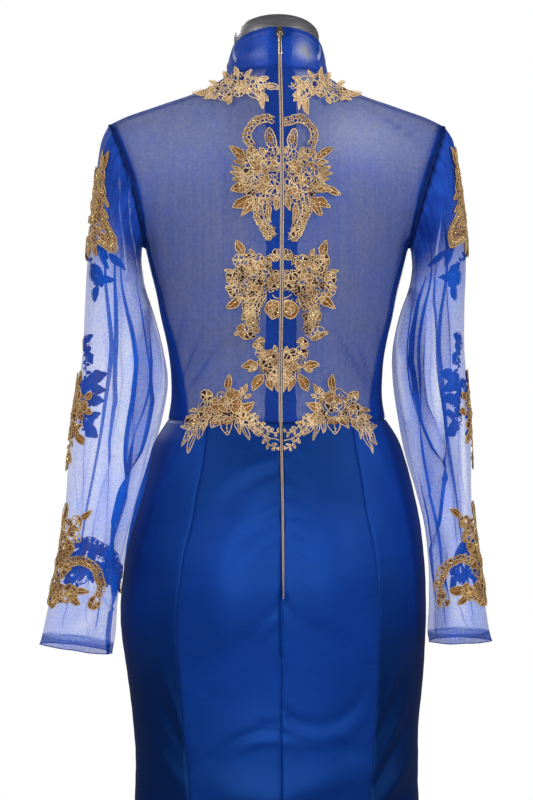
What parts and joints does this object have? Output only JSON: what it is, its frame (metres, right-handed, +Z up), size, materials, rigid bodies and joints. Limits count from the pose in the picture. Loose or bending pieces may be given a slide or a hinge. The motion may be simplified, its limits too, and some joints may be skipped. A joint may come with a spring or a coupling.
{
  "type": "mermaid gown on a limbless dress form",
  "caption": "Royal blue satin mermaid gown with a sheer net back, long net sleeves, gold corded lace and a back zip, standing on a dress form",
  "frame": {"origin": "middle of the underside of the stand's base, on the floor", "axes": "+Z up, the gown faces -Y, its zip is at +Y, +X is the wearer's left"},
  "size_m": [0.8123, 0.7417, 1.5319],
  "materials": {
    "satin": "royal blue satin with a soft sheen",
    "net": "sheer royal blue net",
    "collar_net": "doubled sheer royal blue net",
    "lace": "corded metallic gold lace",
    "zip_tape": "woven dark blue tape",
    "zip_metal": "pale brass teeth",
    "zip_slider_metal": "dark brass",
    "zip_pull_metal": "polished pale brass",
    "form_cloth": "pale grey jersey over a moulded form",
    "cap_steel": "brushed",
    "stand_steel": "brushed"
  },
  "bodies": {
    "gown_and_form": {"back_mesh_l": "net", "back_mesh_r": "net", "bodice_cf": "satin", "bodice_sf_l": "satin", "bodice_sf_r": "satin", "collar": "collar_net", "form_torso": "form_cloth", "front_yoke": "net", "lace_low_l": "lace", "lace_low_r": "lace", "lace_mid_l": "lace", "lace_mid_r": "lace", "lace_shoulder_l": "lace", "lace_shoulder_r": "lace", "lace_sleeve_cuff_l": "lace", "lace_sleeve_cuff_r": "lace", "lace_sleeve_mid_l": "lace", "lace_sleeve_mid_r": "lace", "lace_sleeve_top_l": "lace", "lace_sleeve_top_r": "lace", "lace_upper_l": "lace", "lace_upper_r": "lace", "lace_waist_l": "lace", "lace_waist_r": "lace", "neck_cap": "cap_steel", "skirt_cb_l": "satin", "skirt_cb_r": "satin", "skirt_cf": "satin", "skirt_sb_l": "satin", "skirt_sb_r": "satin", "skirt_sf_l": "satin", "skirt_sf_r": "satin", "sleeve_l": "net", "sleeve_r": "net", "stand_base": "stand_steel", "stand_pole": "stand_steel", "underback_l": "satin", "underback_r": "satin", "zip_chain": "zip_metal", "zip_slider": "zip_slider_metal", "zip_stop_l": "zip_metal", "zip_stop_r": "zip_metal", "zip_tape_l": "zip_tape", "zip_tape_r": "zip_tape"},
    "pull_tab": {"zip_pull": "zip_pull_metal"}
  },
  "joints": [
    {"name": "zip_pull_swing", "type": "hinge", "parent": "gown_and_form", "child": "pull_tab", "pos_m": [0, 0.05694, 1.50801], "axis": [1, 0, 0], "range_deg": [0, 150]}
  ]
}
